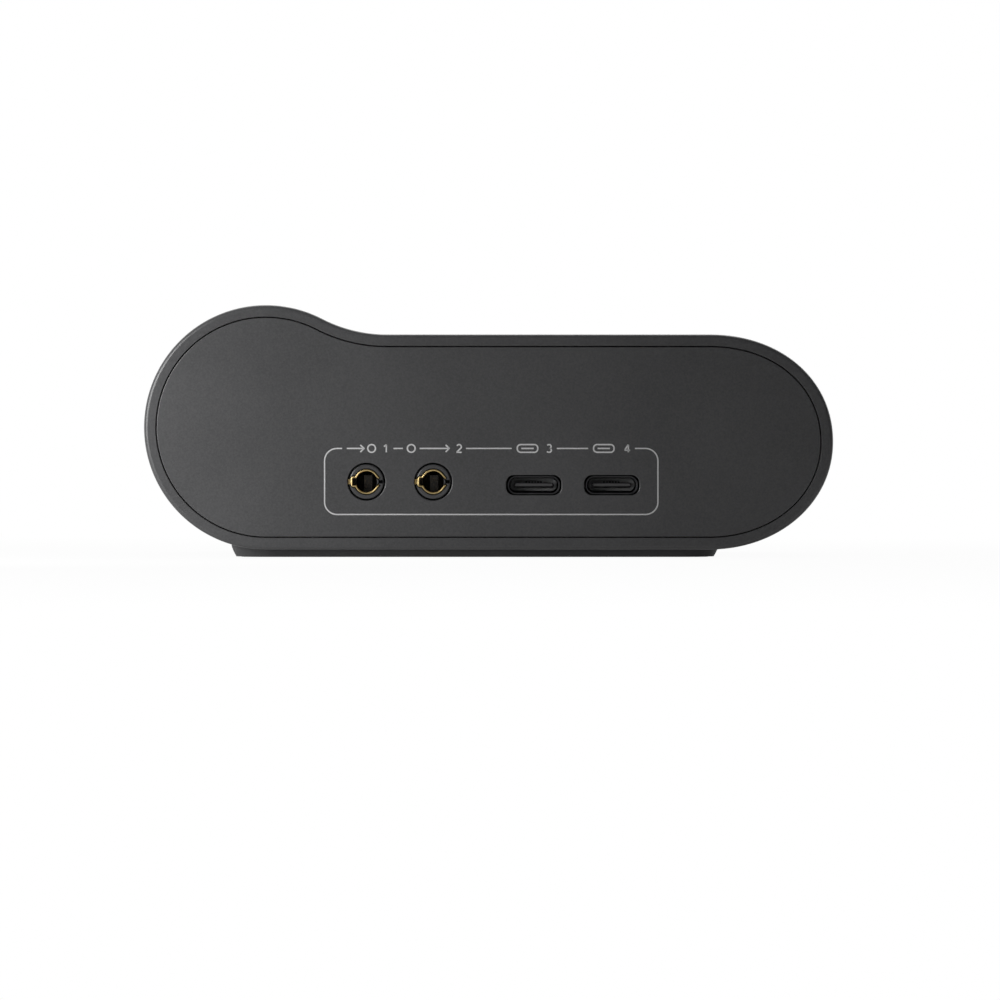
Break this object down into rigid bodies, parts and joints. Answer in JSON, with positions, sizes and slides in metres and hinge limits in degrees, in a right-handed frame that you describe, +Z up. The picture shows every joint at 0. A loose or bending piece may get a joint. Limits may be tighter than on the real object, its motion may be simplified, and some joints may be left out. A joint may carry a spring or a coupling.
{
  "type": "audio interface",
  "caption": "Desktop audio interface: a wrap-around shell with a round hump and nose, jacks and USB-C at the back, knobs, buttons and a microphone socket at the front.",
  "frame": {"origin": "middle of the body between the two ends and the two panels, on the flat underside of the pad", "axes": "+Z up from the desk, +Y from the back panel with the jacks and USB-C to the front panel with the knobs, +X to the right as seen from the back"},
  "size_m": [0.1168, 0.114, 0.0428],
  "materials": {
    "housing_paint": "satin",
    "base_plastic": "matte",
    "pad_rubber": "matte",
    "circuit_board": "satin",
    "standoff_brass": "satin",
    "bright_steel": "satin",
    "black_plastic": "satin",
    "nozzle_plastic": "satin",
    "gilt_contact": "gloss",
    "black_steel": "satin",
    "knob_paint": "satin",
    "button_plastic": "satin"
  },
  "bodies": {
    "housing": {"housing_shell": "housing_paint", "back_panel": "housing_paint", "front_panel": "housing_paint", "base_plate": "base_plastic", "base_pad": "pad_rubber", "main_board": "circuit_board", "front_board": "circuit_board", "standoff_1": "standoff_brass", "standoff_2": "standoff_brass", "standoff_3": "standoff_brass", "standoff_4": "standoff_brass", "board_screw_1": "bright_steel", "board_screw_2": "bright_steel", "board_screw_3": "bright_steel", "board_screw_4": "bright_steel", "floor_screw_1": "bright_steel", "floor_screw_2": "bright_steel", "floor_screw_3": "bright_steel", "floor_screw_4": "bright_steel", "front_board_screw_1": "bright_steel", "front_board_screw_2": "bright_steel", "power_capacitor": "bright_steel", "clock_crystal": "bright_steel", "volume_potentiometer": "bright_steel", "volume_nut": "bright_steel", "gain_potentiometer": "bright_steel", "gain_nut": "bright_steel", "processor": "black_plastic", "converter": "black_plastic", "headphone_amplifier": "black_plastic", "power_inductor": "black_plastic", "board_link": "black_plastic", "usb_1_tongue": "black_plastic", "usb_2_tongue": "black_plastic", "microphone_socket": "black_plastic", "mute_switch": "black_plastic", "phantom_switch": "black_plastic", "line_in_jack": "nozzle_plastic", "line_out_jack": "nozzle_plastic", "headphone_jack": "nozzle_plastic", "line_in_sleeve_contact": "gilt_contact", "line_in_tip_contact": "gilt_contact", "line_out_sleeve_contact": "gilt_contact", "line_out_tip_contact": "gilt_contact", "headphone_sleeve_contact": "gilt_contact", "headphone_tip_contact": "gilt_contact", "microphone_contact_1": "gilt_contact", "microphone_contact_2": "gilt_contact", "microphone_contact_3": "gilt_contact", "usb_1_shell": "black_steel", "usb_2_shell": "black_steel", "socket_screw_1": "black_steel", "socket_screw_2": "black_steel"},
    "volume": {"volume_knob": "knob_paint", "volume_shaft": "bright_steel"},
    "gain": {"gain_knob": "knob_paint", "gain_shaft": "bright_steel"},
    "mute": {"mute_button": "button_plastic"},
    "phantom": {"phantom_button": "button_plastic"}
  },
  "joints": [
    {"name": "volume_turn", "type": "hinge", "parent": "housing", "child": "volume", "pos_m": [-0.03769, 0.05, 0.02205], "axis": [0, -1, 0], "range_deg": [-150, 150]},
    {"name": "gain_turn", "type": "hinge", "parent": "housing", "child": "gain", "pos_m": [0.0085, 0.05, 0.0226], "axis": [0, -1, 0], "range_deg": [-150, 150]},
    {"name": "mute_press", "type": "slide", "parent": "housing", "child": "mute", "axis": [0, -1, 0], "range_m": [0, 0.0006], "stiffness_N_per_m": 1500, "springref_m": -0.0004},
    {"name": "phantom_press", "type": "slide", "parent": "housing", "child": "phantom", "axis": [0, -1, 0], "range_m": [0, 0.0015]}
  ]
}
